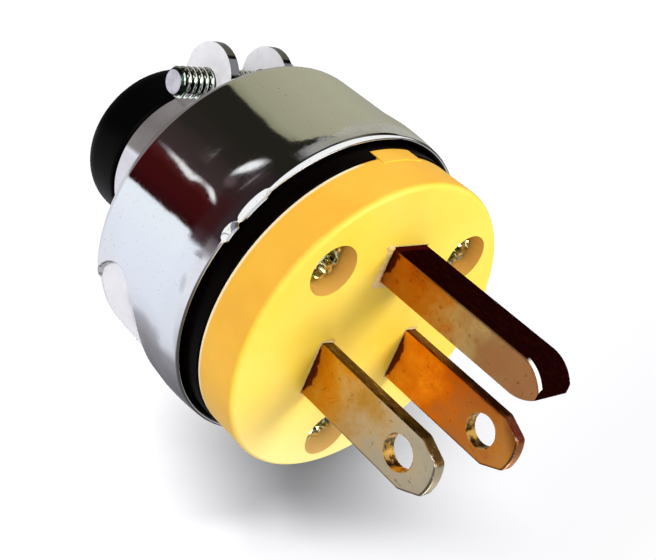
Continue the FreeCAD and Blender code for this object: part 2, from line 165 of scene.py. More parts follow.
# Painted reflections that bright metal mirrors, as (compass angle, colour) round the plug: bands the floor
# shows to glossy rays only, and the room above
nearRing = [(-180, "#D8D7DE"), (-120, "#E6E6EC"), (-60, "#B4B4B8"), (0, "#9C9C9C"), (90, "#A4A19C"),
            (100, "#8A8684"), (140, "#77716F"), (168, "#85807E"), (172, "#8A8684"), (176, "#E4E3EA"),
            (180, "#D8D7DE")]
wallTail = [(-20, "#969690"), (5, "#A3A294"), (45, "#B0AE96"), (71, "#ADAA90"), (95, "#A09E84"),
            (101, "#8C8A70"), (104, "#24231D"), (131, "#2A2522"), (136, "#352C2A"), (147, "#3E3233"),
            (151, "#4C1B1D"), (156, "#40100F"), (165, "#3C0E11"), (171.8, "#2C0809"), (173, "#F2F8FF"),
            (180, "#F2F8FF")]
lowWallRing = [(-180, "#F2F8FF"), (-165, "#EAF1FC"), (-140, "#EAEAF2"), (-60, "#E0DFE6"),
               (-45, "#969690")] + wallTail
wallRing = [(-180, "#F2F8FF"), (-165, "#EEF4FF"), (-138, "#E8EEFA"), (-128, "#DEE2EC"), (-121.5, "#ACACB4"),
            (-108, "#8C8B90"), (-80, "#74737A"), (-60, "#86868A")] + wallTail
rimRing = [(-180, "#EEF3FD"), (-165, "#ECF2FD"), (-130, "#E4E8F2"), (-120, "#DADDE6"), (-112.5, "#9A99A0"),
           (-98, "#7E7D84"), (-83, "#6C6C70"), (-20, "#A8A6A0"), (20, "#B9B7AE"), (71, "#ADAA90"),
           (95, "#A09E84"), (101, "#6A6656"), (104, "#24231D"), (128, "#3E3436"), (135, "#332A2A"),
           (150, "#3A1C1E"), (166, "#3C1A1C"), (174, "#4A3C42"), (176, "#EEF3FD"), (180, "#EEF3FD")]
farRing = [(-180, "#E6E8EE"), (-160, "#EEF0F6"), (-140, "#D8DAE0"), (-120, "#84848A"), (-98, "#5E5C5E"),
           (-60, "#50403A"), (-20, "#2A100C"), (15, "#1C0503"), (50, "#1C0503"), (70, "#6E6A5A"),
           (80, "#2C2622"), (120, "#2E2626"), (166, "#3A2C30"), (174, "#8A8488"), (180, "#E6E8EE")]
skyRing = [(-180, "#8E9096"), (-150, "#5A5A5E"), (-60, "#4A4844"), (-45, "#CCCCC8"), (-10, "#C0C0BC"),
           (8, "#4A4844"), (18, "#5A5850"), (26, "#FFFFFF"), (150, "#FFFFFF"), (151.5, "#5A5A5E"),
           (153, "#5A5A5E"), (154.5, "#FFFFFF"), (168, "#FFFFFF"), (171, "#8E9096"), (180, "#8E9096")]
# The dark band of painted reflection in front: its edge sweeps round between two distances as it comes nearer
# the rim
darkReflectionBand = {"edge": 101.5, "soft": 1.0, "end": 126.0, "fade": 9.0, "sweep": 24.0, "from": 58.0, "to": 76.0,
            "shade": "#24221C"}
# Small painted glints between them: compass angle, its half width, distance from the axis in mm, its half
# width, lean in degrees per mm, strength, colour
paintedGlints = [(150.8, 2.5, 50.0, 11.5, 0.23, 0.85, "#FFFFFF"), (127.0, 7.5, 57.5, 10.0, -0.9, 0.95, "#FFFFFF"),
          (132.0, 7.0, 69.5, 2.2, -3.0, 0.3, "#D8C8D0"), (139.0, 5.0, 55.0, 9.0, 0.0, 0.3, "#8A7478"),
          (179.0, 5.0, 79.0, 9.0, 0.0, 0.75, "#8A888C"), (-163.0, 7.0, 76.0, 6.0, 0.5, 0.4, "#9A989E")]
glintCore = 0.35  # share of a painted glint's half width that has its full strength
# The long bands of painted reflection after the nearest one, each with the two distances between which it takes
# over
reflectionBands = ((lowWallRing, 27, 30), (wallRing, 40.4, 41.4), (rimRing, 54, 62), (farRing, 74, 84))


def shareOf(angle):
    # A compass angle as a share of the turn, 0 to 1
    return (angle + 180) / 360


def toStops(ring):
    return [(shareOf(angle), hexText) for angle, hexText in ring]


def lookFrom(turn, rise, away):
    # Place at a compass angle and height angle about the middle of the plug
    a, b = math.radians(turn), math.radians(rise)
    way = Vector((math.cos(a) * math.cos(b), math.sin(a) * math.cos(b), math.sin(b)))
    return (Vector(studio["middle"]) + way * away) * mm


def addLamp(name, cfg):
    data = bpy.data.lights.new(name, "AREA")
    data.shape = "ELLIPSE"
    data.size = cfg["side"] * mm
    data.size_y = cfg["low"] * mm
    data.energy = cfg["level"] * (math.pi * cfg["away"] * mm) ** 2
    obj = bpy.data.objects.new(name, data)
    obj.location = lookFrom(cfg["turn"], cfg["rise"], cfg["away"])
    facing = (obj.location - Vector(studio["middle"]) * mm).to_track_quat("Z", "Y")
    obj.rotation_euler = (facing.to_matrix() @ Matrix.Rotation(math.radians(cfg["roll"]), 3, "Z")).to_euler()
    bpy.context.scene.collection.objects.link(obj)
    return obj


def addTurn(tree, way):
    # Share of the compass, 0 to 1, that a place or direction lies at, and its height
    parts = addNode(tree, "SeparateXYZ", {0: way})
    turn = addNode(tree, "Math", {0: parts.outputs["Y"], 1: parts.outputs["X"]}, {"operation": "ARCTAN2"})
    share = addNode(tree, "Math", {0: turn, 1: 1 / (2 * math.pi), 2: 0.5}, timesPlus)
    return share.outputs[0], parts.outputs["Z"]


def makeWorld():
    world = bpy.data.worlds.new("studioRoom")
    bpy.context.scene.world = world
    tree = startTree(world)
    rays = addNode(tree, "LightPath")
    share, height = addTurn(tree, addNode(tree, "TexCoord").outputs["Generated"])
    # Glossy rays see painted reflections here: the skyRing bands round the compass, paler overhead; other rays
    # see a plain room
    sky = addNode(tree, "ValToRGB", {0: share}, stops=toStops(skyRing))
    overhead = addNode(tree, "MapRange", {"Value": height, "From": studio["overheadFrom"]}, smooth)
    mirrored = addNode(tree, "Mix", {0: overhead, 6: sky, 7: studio["overhead"]}, ofColours)
    plain = addNode(tree, "Background", {"Color": "#FFFFFF", "Strength": studio["roomLight"]})
    glossy = addNode(tree, "Background", {"Color": mirrored, "Strength": 1.0})
    white = addNode(tree, "Background", {"Color": "#FFFFFF", "Strength": 1.0})
    forGloss = addNode(tree, "MixShader", {0: rays.outputs["Is Glossy Ray"], 1: plain, 2: glossy})
    shown = addNode(tree, "Math", {0: rays.outputs["Is Camera Ray"], 1: rays.outputs["Is Transmission Ray"]},
                    larger)
    forCamera = addNode(tree, "MixShader", {0: shown, 1: forGloss, 2: white})
    addNode(tree, "OutputWorld", {"Surface": forCamera})


def addPaintedReflections(tree, share, away):
    # The painted reflection that bright metal sees at each place of the floor
    seen = addNode(tree, "ValToRGB", {0: share}, stops=toStops(nearRing))
    for ring, start, end in reflectionBands:
        reflectionBand = addNode(tree, "ValToRGB", {0: share}, stops=toStops(ring))
        reach = addNode(tree, "MapRange", {"Value": away, "From": (start * mm, end * mm)}, smooth)
        seen = addNode(tree, "Mix", {0: reach, 6: seen, 7: reflectionBand}, ofColours)
    sweep = addNode(tree, "MapRange", {"Value": away, "From": (darkReflectionBand["from"] * mm, darkReflectionBand["to"] * mm),
                                       "To Max": darkReflectionBand["sweep"] / 360}, smooth)
    swept = addNode(tree, "Math", {0: share, 1: sweep}, {"operation": "ADD"})
    begins = addNode(tree, "MapRange", {"Value": swept,
                                        "From": (shareOf(darkReflectionBand["edge"] - darkReflectionBand["soft"]),
                                                 shareOf(darkReflectionBand["edge"] + darkReflectionBand["soft"]))}, smooth)
    ends = addNode(tree, "MapRange", {"Value": share,
                                      "From": (shareOf(darkReflectionBand["end"]),
                                               shareOf(darkReflectionBand["end"] - darkReflectionBand["fade"]))}, smooth)
    near = addNode(tree, "MapRange", {"Value": away, "From": (reflectionBands[0][1] * mm, reflectionBands[0][2] * mm)}, smooth)
    dark = addNode(tree, "Math", {0: begins, 1: ends}, times)
    dark = addNode(tree, "Math", {0: dark, 1: near}, times)
    seen = addNode(tree, "Mix", {0: dark, 6: seen, 7: darkReflectionBand["shade"]}, ofColours)
    for angle, halfAngle, distance, halfDistance, lean, strength, shade in paintedGlints:
        turned = addNode(tree, "Math", {0: share, 1: 360 / halfAngle,
                                        2: (lean * distance - angle - 180) / halfAngle}, timesPlus)
        across = addNode(tree, "Math", {0: away, 1: -lean / (halfAngle * mm), 2: turned}, timesPlus)
        out = addNode(tree, "Math", {0: away, 1: 1 / (halfDistance * mm), 2: -distance / halfDistance},
                      timesPlus)
        both = addNode(tree, "CombineXYZ", {0: across, 1: out})
        far = addNode(tree, "VectorMath", {0: both}, lengthOf)
        spot = addNode(tree, "MapRange", {"Value": far.outputs["Value"], "From": (1.0, glintCore),
                                          "To Max": strength}, smooth)
        seen = addNode(tree, "Mix", {0: spot, 6: seen, 7: shade}, ofColours)
    return seen


def makeFloor():
    side = studio["floorHalf"] * mm
    mesh = bpy.data.meshes.new("floor")
    mesh.from_pydata([(-side, -side, 0), (side, -side, 0), (side, side, 0), (-side, side, 0)], [],
                     [(0, 1, 2, 3)])
    # Matt white board that keeps the shadow; to glossy rays it shows the painted reflections that bright metal
    # sees
    material = bpy.data.materials.new("palePaintedBoard")
    tree = startTree(material)
    rays = addNode(tree, "LightPath")
    place = addNode(tree, "TexCoord").outputs["Object"]
    share = addTurn(tree, place)[0]
    away = addNode(tree, "VectorMath", {0: place}, lengthOf).outputs["Value"]
    seen = addPaintedReflections(tree, share, away)
    matt = addNode(tree, "BsdfDiffuse", {"Color": studio["floorShade"]})
    beyond = addNode(tree, "MapRange", {"Value": away,
                                        "From": (studio["whiteFrom"] * mm, studio["whiteTo"] * mm)}, smooth)
    fade = addNode(tree, "Math", {0: rays.outputs["Is Camera Ray"], 1: beyond}, times)
    bright = addNode(tree, "Emission", {"Color": "#FFFFFF", "Strength": 1.0})
    board = addNode(tree, "MixShader", {0: fade, 1: matt, 2: bright})
    mirrored = addNode(tree, "Emission", {"Color": seen, "Strength": 1.0})
    both = addNode(tree, "MixShader", {0: rays.outputs["Is Glossy Ray"], 1: board, 2: mirrored})
    addNode(tree, "OutputMaterial", {"Surface": both})
    floor = addObject("floor", mesh, [material])
    return floor


def groupLit(name, pieces):
    group = bpy.data.collections.new(name)
    for piece in pieces:
        group.objects.link(piece)
    return group


def leaveOut(group):
    # A lamp that takes this group lights everything but its pieces
    for linked in group.collection_objects:
        linked.light_linking.link_state = "EXCLUDE"


makeWorld()
floor = makeFloor()
lampObjects = {name: addLamp(name, cfg) for name, cfg in lamps.items()}
# The low lamp draws the shadow of the plug's front end on the floor and leaves the plug's own light alone
lampObjects["floorLamp"].light_linking.receiver_collection = groupLit("floorOnly", [floor])
frontEnd = [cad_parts[name] for name in ("front_body", "neutral_blade", "hot_blade")]
lampObjects["floorLamp"].light_linking.blocker_collection = groupLit("frontPieces", frontEnd)
# The lamps over the plug leave out the floor, and the shell too, so that no lamp's disc shows in its mirror
notFloor = groupLit("notFloor", [floor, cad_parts["steel_shell"]])
leaveOut(notFloor)
for name in ("keyLamp", "faceLamp", "sideLamp"):
    lampObjects[name].light_linking.receiver_collection = notFloor
print("studio ready")


# Materials

# A painted grey reflection lies just behind the rim, dull and less metallic; its compass angles are where it
# starts, is full, begins to end and has ended
platedFinish = {"bright": "#F1F2F3", "dull": "#A9A69E", "rough": (0.045, 0.14), "greyRimReflection": "#B4B2A6",
                "greyRimReflectionMetal": 0.25, "greyRimReflectionTurn": (70, 100, 116, 126), "greyRimReflectionZ": (33.6, 34.8),
                "lipZ": (34.05, 33.9)}


def makePlatedSteel(name, cfg):
    # Drawn steel with bright nickel plate: a mirror with faint draw rings, a slow ripple, a few dull specks and
    # a painted grey reflection near the rim
    material, tree, shader, place = startMaterial(name, {"Metallic": 1.0})
    rings = addNode(tree, "Mapping", {"Vector": place, "Scale": (0.02, 0.02, 3.0)})  # rings 0.3 mm apart
    drawn = addNode(tree, "TexNoise", {"Vector": rings, "Scale": 1.0, "Detail": 3.0})
    ripple = addNode(tree, "TexNoise", {"Vector": place, "Scale": 0.22, "Detail": 1.0})  # 4.5 mm ripple
    orange = addNode(tree, "TexNoise", {"Vector": place, "Scale": 2.2, "Detail": 2.0})  # 0.5 mm orange peel
    speck = addNode(tree, "TexNoise", {"Vector": place, "Scale": 2.6, "Detail": 4.0, "Roughness": 0.7})
    specked = addNode(tree, "MapRange", {"Value": speck, "From": (0.63, 0.76)})
    colour = addNode(tree, "Mix", {0: specked, 6: cfg["bright"], 7: cfg["dull"]}, ofColours)
    rough = addNode(tree, "MapRange", {"Value": speck, "From": (0.4, 0.75), "To": cfg["rough"]})
    share, height = addTurn(tree, place)
    smear = addNode(tree, "Mapping", {"Vector": place, "Scale": (0.5, 0.5, 0.9)})  # noise stretched 2 mm long that breaks the edge of the painted grey reflection
    stretchedNoise = addNode(tree, "TexNoise", {"Vector": smear, "Scale": 1.0, "Detail": 4.0, "Roughness": 0.6})
    rise = addNode(tree, "Math", {0: stretchedNoise, 1: 2.4, 2: height}, timesPlus)
    nearRim = addNode(tree, "MapRange", {"Value": rise, "From": cfg["greyRimReflectionZ"]}, smooth)
    begin, full, fade, end = [shareOf(angle) for angle in cfg["greyRimReflectionTurn"]]
    starts = addNode(tree, "MapRange", {"Value": share, "From": (end, fade)}, smooth)
    ends = addNode(tree, "MapRange", {"Value": share, "From": (begin, full)}, smooth)
    below = addNode(tree, "MapRange", {"Value": height, "From": cfg["lipZ"]})  # the rolled lip stays bright
    # Where the painted grey reflection lies
    greyRimReflection = starts
    for part in (ends, nearRim, below):
        greyRimReflection = addNode(tree, "Math", {0: greyRimReflection, 1: part}, times)
    greyRimReflected = addNode(tree, "Mix", {0: greyRimReflection, 6: colour, 7: cfg["greyRimReflection"]}, ofColours)
    metal = addNode(tree, "MapRange", {"Value": greyRimReflection, "To": (1.0, cfg["greyRimReflectionMetal"])})
    slow = addNode(tree, "Bump", {"Strength": 0.5, "Distance": 0.08 * mm, "Height": ripple})
    peel = addNode(tree, "Bump", {"Strength": 0.5, "Distance": 0.004 * mm, "Height": orange, "Normal": slow})
    fine = addNode(tree, "Bump", {"Strength": 0.3, "Distance": 0.004 * mm, "Height": drawn, "Normal": peel})
    joinInputs(tree, shader, {"Base Color": greyRimReflected, "Metallic": metal, "Roughness": rough, "Normal": fine})
    return material


# The rear edge carries a painted highlight in cream between two heights, but not across the key; the low side
# is paler as painted light, and the hole walls are paler
nylonFinish = {"flowStops": (0.30, 0.5, 0.72), "rough": (0.36, 0.5), "depth": (1.0, 0.6, 0.15),
               "low": "#FFF2B4", "paintedLightLowY": (-4.0, -19.0), "walls": "#F4CC88", "wallRadius": (16.9, 16.7),
               "lip": "#FFEBC4", "lipZ": (36.5, 36.58, 36.95, 37.15), "keyY": (16.9, 16.5)}


def makeYellowNylon(name, cfg, shades, litFaceShades, cloudy):
    # Moulded nylon: warm and slightly cloudy, satin from the spark-eroded mould, a faint flow mottle
    material, tree, shader, place = startMaterial(name,
                                                  {"Subsurface Weight": cloudy,
                                                   "Subsurface Radius": cfg["depth"],
                                                   "Subsurface Scale": 0.8 * mm, "IOR": 1.53,
                                                   "Specular IOR Level": 0.3})
    flow = addNode(tree, "TexNoise", {"Vector": place, "Scale": 0.16, "Detail": 3.0})
    grain = addNode(tree, "TexNoise", {"Vector": place, "Scale": 7.0, "Detail": 2.0})  # 0.14 mm erosion grain
    colour = addNode(tree, "ValToRGB", {0: flow}, stops=list(zip(cfg["flowStops"], shades)))
    # The front face takes a paler, brighter copy of the colours, blended in as a surface faces front: painted
    # light
    paintedLitFace = addNode(tree, "ValToRGB", {0: flow}, stops=list(zip(cfg["flowStops"], litFaceShades)))
    turned = addNode(tree, "SeparateXYZ", {0: addNode(tree, "NewGeometry").outputs["Normal"]})
    parts = addNode(tree, "SeparateXYZ", {0: place})
    facing = addNode(tree, "MapRange", {"Value": turned.outputs["Z"], "From": (0.05, 0.9)}, smooth)
    skin = addNode(tree, "Mix", {0: facing, 6: colour, 7: paintedLitFace}, ofColours)
    # Paler towards the bottom: painted light, as if lit from below
    paintedLightLow = addNode(tree, "MapRange", {"Value": parts.outputs["Y"], "From": cfg["paintedLightLowY"], "To Max": 0.5},
                      smooth)
    level = addNode(tree, "VectorMath", {0: place, 1: (1.0, 1.0, 0.0)}, times)
    fromAxis = addNode(tree, "VectorMath", {0: level}, lengthOf)
    within = addNode(tree, "MapRange", {"Value": fromAxis.outputs["Value"], "From": cfg["wallRadius"]})
    upright = addNode(tree, "MapRange", {"Value": turned.outputs["Z"], "From": (0.7, 0.3), "To Max": 0.35})
    walls = addNode(tree, "Math", {0: within, 1: upright}, times)
    # A painted highlight: the cream band round the rear edge
    start, whole, fade, end = cfg["lipZ"]
    below = addNode(tree, "MapRange", {"Value": parts.outputs["Z"], "From": (end, fade), "To Max": 0.9}, smooth)
    above = addNode(tree, "MapRange", {"Value": parts.outputs["Z"], "From": (start, whole)})
    offKey = addNode(tree, "MapRange", {"Value": parts.outputs["Y"], "From": cfg["keyY"]})
    lip = addNode(tree, "Math", {0: below, 1: above}, times)
    lip = addNode(tree, "Math", {0: lip, 1: offKey}, times)
    for part, shade in ((paintedLightLow, cfg["low"]), (walls, cfg["walls"]), (lip, cfg["lip"])):
        skin = addNode(tree, "Mix", {0: part, 6: skin, 7: shade}, ofColours)
    rough = addNode(tree, "MapRange", {"Value": flow, "To": cfg["rough"]})
    bump = addNode(tree, "Bump", {"Strength": 0.2, "Distance": 0.02 * mm, "Height": grain})
    joinInputs(tree, shader, {"Base Color": skin, "Roughness": rough, "Normal": bump})
    return material


# What the contacts share: where the painted root shade and the painted dark reflection at the tip's corner
# begin, and the hole with its scored wall
contactFinish = {"face": 42.3, "rootZ": (41.95, 41.65), "rootShare": 0.92, "holeY": -3.43,
                 "holeRadius": (1.95, 1.88), "holeBright": "#D8A850", "holeDark": "#5A3C14",
                 "paintedHighlight": "#FFF8EE", "corner": "#6A1C08", "cornerZ": (57.6, 59.4)}


def makeTarnishedBrass(name, cfg, common):
    # Stamped brass strip: patchy tarnish, rolling lines along the blade, brown edges, painted shade at the
    # root, a painted highlight on the nose, a painted dark reflection at the tip's corner
    material, tree, shader, place = startMaterial(name, {"Metallic": 1.0})
    parts = addNode(tree, "SeparateXYZ", {0: place})
    height = parts.outputs["Z"]
    turned = addNode(tree, "SeparateXYZ", {0: addNode(tree, "NewGeometry").outputs["Normal"]})
    patches = addNode(tree, "TexNoise", {"Vector": place, "Scale": 0.32, "Detail": 6.0, "Roughness": 0.62})
    spots = addNode(tree, "TexNoise", {"Vector": place, "Scale": 1.3, "Detail": 3.0, "Roughness": 0.6})
    lines = addNode(tree, "Mapping", {"Vector": place, "Scale": (6.0, 6.0, 0.25)})  # 0.16 mm rolling lines
    rolled = addNode(tree, "TexNoise", {"Vector": lines, "Scale": 1.0, "Detail": 4.0})
    # Rubbed streaks 1.4 mm long
    strands = addNode(tree, "Mapping", {"Vector": place, "Scale": (3.2, 3.2, 0.7)})
    rubbed = addNode(tree, "TexNoise", {"Vector": strands, "Scale": 1.0, "Detail": 5.0, "Roughness": 0.7})

    # Tarnish along the blade, with small spots
    along = addNode(tree, "MapRange", {"Value": height, "From": (common["face"], cfg["tip"])})
    drift = addNode(tree, "Math", {0: patches, 1: 1.1, 2: -0.55}, timesPlus)
    spread = addNode(tree, "Math", {0: along, 1: drift}, {"operation": "ADD", "use_clamp": True})
    stain = addNode(tree, "ValToRGB", {0: spread}, stops=cfg["colours"])
    spotted = addNode(tree, "MapRange", {"Value": spots, "From": (0.62, 0.72), "To Max": 0.5})
    worn = addNode(tree, "Mix", {0: spotted, 6: stain, 7: cfg["spot"]}, ofColours)

    # Brown upper edges, rubbed bare in streaks; the ground pin's top and nose are near black and matt, partly
    # tarnish and partly painted dark reflection
    upward = turned.outputs["Y"]
    if cfg["noseToo"]:
        upward = addNode(tree, "Math", {0: upward, 1: turned.outputs["Z"]}, larger)
    top = addNode(tree, "MapRange", {"Value": upward, "From": (0.25, 0.6)})
    bare = addNode(tree, "MapRange", {"Value": rubbed, "From": (0.52, 0.68), "To Max": cfg["streaks"]})
    edge = addNode(tree, "Mix", {0: bare, 6: cfg["edge"], 7: cfg["bare"]}, ofColours)
    skin = addNode(tree, "Mix", {0: top, 6: worn, 7: edge}, ofColours)

    # A lens of painted shade at the root: the dark slot mirrored in the blade where it leaves the face
    offMiddle = addNode(tree, "Math", {0: parts.outputs["Y"], 1: 1 / cfg["rootHalf"],
                                       2: -cfg["rootMiddle"] / cfg["rootHalf"]}, timesPlus)
    bowed = addNode(tree, "Math", {0: offMiddle, 1: offMiddle}, times)
    lens = addNode(tree, "Math", {0: bowed, 1: -cfg["rootTall"], 2: cfg["rootTall"]}, timesPlus)
    ragged = addNode(tree, "Math", {0: spots, 1: 1.0, 2: lens}, timesPlus)
    over = addNode(tree, "Math", {0: height, 1: ragged}, {"operation": "SUBTRACT"})
    root = addNode(tree, "MapRange", {"Value": over, "From": common["rootZ"], "To Max": common["rootShare"]},
                   smooth)

    # A painted highlight along the slant of the nose, broken up in streaks
    sideways = addNode(tree, "Math", {0: turned.outputs["X"]}, unsigned)
    paintedHighlight = addNode(tree, "MapRange", {"Value": sideways, "From": (0.93, 0.85)})
    staying = addNode(tree, "MapRange", {"Value": sideways, "From": (0.3, 0.4)})
    atNose = addNode(tree, "MapRange", {"Value": height, "From": (cfg["paintedHighlight"], cfg["paintedHighlight"] + 0.6)})
    broken = addNode(tree, "MapRange", {"Value": rubbed,
                                        "From": (0.5 - cfg["paintedHighlightAll"], 0.6 - cfg["paintedHighlightAll"])})
    for part in (staying, atNose, broken):
        paintedHighlight = addNode(tree, "Math", {0: paintedHighlight, 1: part}, times)

    # The scored wall of the hole
    flatPlace = addNode(tree, "VectorMath", {0: place, 1: (0.0, 1.0, 1.0)}, times)
    fromHole = addNode(tree, "VectorMath", {0: flatPlace, 1: (0.0, common["holeY"], cfg["holeZ"])},
                       {"operation": "DISTANCE"})
    inHole = addNode(tree, "MapRange", {"Value": fromHole.outputs["Value"], "From": common["holeRadius"],
                                        "To Max": 0.9})
    scored = addNode(tree, "MapRange", {"Value": spots, "From": (0.46, 0.56)})
    punched = addNode(tree, "Mix", {0: scored, 6: common["holeBright"], 7: common["holeDark"]}, ofColours)

    # A painted dark reflection on the upper corner of the tip
    corner = addNode(tree, "Math", {0: parts.outputs["Y"], 1: 0.7, 2: height}, timesPlus)
    frayed = addNode(tree, "Math", {0: patches, 1: 2.0, 2: corner}, timesPlus)
    tipDarkReflection = addNode(tree, "MapRange", {"Value": frayed, "From": common["cornerZ"],
                                          "To Max": cfg["tipDarkReflection"]}, smooth)
    for part, shade in ((root, cfg["root"]), (paintedHighlight, common["paintedHighlight"]), (inHole, punched),
                        (tipDarkReflection, common["corner"])):
        skin = addNode(tree, "Mix", {0: part, 6: skin, 7: shade}, ofColours)

    metal = addNode(tree, "MapRange", {"Value": top, "To": (1.0, cfg["topMetal"])})
    shine = addNode(tree, "MapRange", {"Value": top, "To": (0.5, 0.55 * cfg["topMetal"])})
    rough = addNode(tree, "MapRange", {"Value": patches, "From": (0.3, 0.7),
                                       "To": (cfg["rough"] - 0.1, cfg["rough"] + 0.1)})
    bump = addNode(tree, "Bump", {"Strength": 0.3, "Distance": 0.02 * mm, "Height": rolled})
    pits = addNode(tree, "Bump", {"Strength": 0.4, "Distance": 0.06 * mm, "Height": patches, "Normal": bump})
    joinInputs(tree, shader, {"Base Color": skin, "Metallic": metal, "Specular IOR Level": shine,
                              "Roughness": rough, "Normal": pits})
    return material


# The milky ears; their edge colour is a painted dark reflection
milkyEars = {"edge": "#77777E", "soft": 0.6, "metal": 0.1}


def makeSimpleMetal(name, bright, dull, rough, grainMm, cloudAside=0.0, metallic=1.0):
    # Plated or turned small parts: bright skin with dull patches and a fine grain
    material, tree, shader, place = startMaterial(name, {"Metallic": metallic})
    patches = addNode(tree, "TexNoise", {"Vector": place, "Scale": 1 / grainMm, "Detail": 5.0})
    colour = addNode(tree, "ValToRGB", {0: patches}, stops=[(0.35, dull), (0.6, bright)])
    # The flat ears beyond this distance from the middle carry a milky passivation, and their rounded edges a
    # painted dark reflection
    if cloudAside:
        parts = addNode(tree, "SeparateXYZ", {0: place})
        turned = addNode(tree, "SeparateXYZ", {0: addNode(tree, "NewGeometry").outputs["Normal"]})
        aside = addNode(tree, "Math", {0: parts.outputs["Y"]}, unsigned)
        flat = addNode(tree, "Math", {0: turned.outputs["X"]}, unsigned)
        start = cloudAside - milkyEars["soft"]
        milky = addNode(tree, "MapRange", {"Value": aside, "From": (start, cloudAside + milkyEars["soft"]),
                                           "To": (1.0, milkyEars["metal"])}, smooth)
        rounded = addNode(tree, "MapRange", {"Value": flat, "From": (0.9, 0.75)})
        metal = addNode(tree, "Math", {0: milky, 1: rounded}, larger)
        outside = addNode(tree, "MapRange", {"Value": aside, "From": (start, cloudAside)})
        paintedDarkEdge = addNode(tree, "Math", {0: rounded, 1: outside}, times)
        colour = addNode(tree, "Mix", {0: paintedDarkEdge, 6: colour, 7: milkyEars["edge"]}, ofColours)
        joinInputs(tree, shader, {"Metallic": metal})
    gloss = addNode(tree, "MapRange", {"Value": patches, "From": (0.3, 0.7), "To": (rough * 1.5, rough * 0.7)})
    bump = addNode(tree, "Bump", {"Strength": 0.25, "Distance": 0.02 * mm, "Height": patches})
    joinInputs(tree, shader, {"Base Color": colour, "Roughness": gloss, "Normal": bump})
    return material


def makeBlack(name, colour, rough, shine, grainMm, depth):
    # Black moulding: a skin grain that catches a soft grey light
    material, tree, shader, place = startMaterial(name, {"Specular IOR Level": shine})
    grain = addNode(tree, "TexNoise", {"Vector": place, "Scale": 1 / grainMm, "Detail": 3.0})
    shade = addNode(tree, "ValToRGB", {0: grain}, stops=[(0.3, colour[0]), (0.75, colour[1])])
    gloss = addNode(tree, "MapRange", {"Value": grain, "To": (rough - 0.08, rough + 0.1)})
    bump = addNode(tree, "Bump", {"Strength": 0.3, "Distance": depth * mm, "Height": grain})
    joinInputs(tree, shader, {"Base Color": shade, "Roughness": gloss, "Normal": bump})
    return material


platedSteel = makePlatedSteel("nickelPlatedDrawnSteel", platedFinish)
yellowNylon = makeYellowNylon("mouldedYellowNylon", nylonFinish, ("#EBAC28", "#F1B42E", "#F5BA38"),
                              ("#FFD446", "#FFD94E", "#FFDD58"), 0.08)
flashNylon = makeYellowNylon("nylonMouldFlash", nylonFinish, ("#DDA25A", "#E6B068", "#ECBC78"),
                             ("#EAB870", "#F0C484", "#F4D098"), 0.5)
bladeShape = {"streaks": 0.5, "holeZ": 55.6, "root": "#4A0E06", "rootMiddle": -3.6, "rootHalf": 3.0,
              "rootTall": 0.9, "paintedHighlight": 58.6, "paintedHighlightAll": 0.0, "tip": 61.0, "noseToo": False, "topMetal": 0.9}
neutralBlade = {**bladeShape, "edge": "#5E4218", "bare": "#D8B478", "spot": "#6A4A24", "tipDarkReflection": 0.0,
                "rough": 0.3, "colours": [(0.0, "#C8841E"), (0.24, "#CE973E"), (0.5, "#D6B47E"),
                                          (0.72, "#CBBA98"), (0.95, "#C4B698")]}
hotBlade = {**bladeShape, "edge": "#5A2A12", "bare": "#C88A50", "spot": "#6A3A18", "tipDarkReflection": 0.6,
            "rough": 0.32, "colours": [(0.0, "#E89A30"), (0.4, "#D87412"), (0.62, "#CA7836"), (0.85, "#DA8A38"),
                                       (1.0, "#D8944A")]}
groundPin = {"colours": [(0.0, "#A85C12"), (0.3, "#B4742C"), (0.52, "#BE9A60"), (0.75, "#AC7C4C"),
                         (0.95, "#B27A4C")], "edge": "#140202", "bare": "#3C140C", "streaks": 0.4,
             "holeZ": 90.0, "tipDarkReflection": 0.0, "spot": "#5A2A10", "root": "#3A0A06", "rootMiddle": 9.6,
             "rootHalf": 2.2, "rootTall": 1.0, "paintedHighlight": 60.4, "paintedHighlightAll": 0.4, "tip": 63.0, "noseToo": True,
             "topMetal": 0.0, "rough": 0.32}
neutralBrass = makeTarnishedBrass("stampedBrassWornNickel", neutralBlade, contactFinish)
hotBrass = makeTarnishedBrass("stampedBrassTarnished", hotBlade, contactFinish)
pinBrass = makeTarnishedBrass("foldedBrassTarnished", groundPin, contactFinish)
screwBrass = makeSimpleMetal("turnedBrassScrew", "#F2E2A0", "#A89050", 0.14, 0.7)
chippedBrass = makeSimpleMetal("brightBrassScrewHead", "#F6F4D2", "#6E7250", 0.07, 0.9)
screwNickel = makeSimpleMetal("nickelPlatedScrew", "#D6D4C8", "#9C988A", 0.18, 0.9)
screwGreen = makeSimpleMetal("greenPassivatedScrew", "#7FA08A", "#4E6A58", 0.22, 0.9)
clampSteel = makeSimpleMetal("zincPlatedStampedSteel", "#FDFCFF", "#F4F3F7", 0.08, 1.6, 11.0)
clampZinc = makeSimpleMetal("zincPlatedRolledThread", "#FFFFF6", "#DDE6DA", 0.08, 0.8)
clampTip = makeSimpleMetal("zincPlatedScrewTip", "#D4D2DC", "#BEBCC8", 0.12, 0.8, 0.1)
# Green in the thread's roots, darkened near black there as painted shade
threadRootGreenAndShade = makeSimpleMetal("greenThreadRootPaintedShade", "#3E5A46", "#16261C", 0.2, 0.6)
blackPhenolic = makeBlack("mouldedBlackPhenolic", ("#040101", "#080303"), 0.3, 0.02, 0.5, 0.01)
blackRubber = makeBlack("mouldedBlackRubber", ("#010101", "#030303"), 0.42, 0.04, 0.3, 0.02)
satinPlate = makeSimpleMetal("satinPressedLabelPanel", "#FFFFFF", "#F6F5F9", 0.1, 3.0, metallic=0.45)
greyFibre = makeBlack("pressedBlackFibre", ("#171412", "#241F1B"), 0.5, 0.4, 0.25, 0.05)

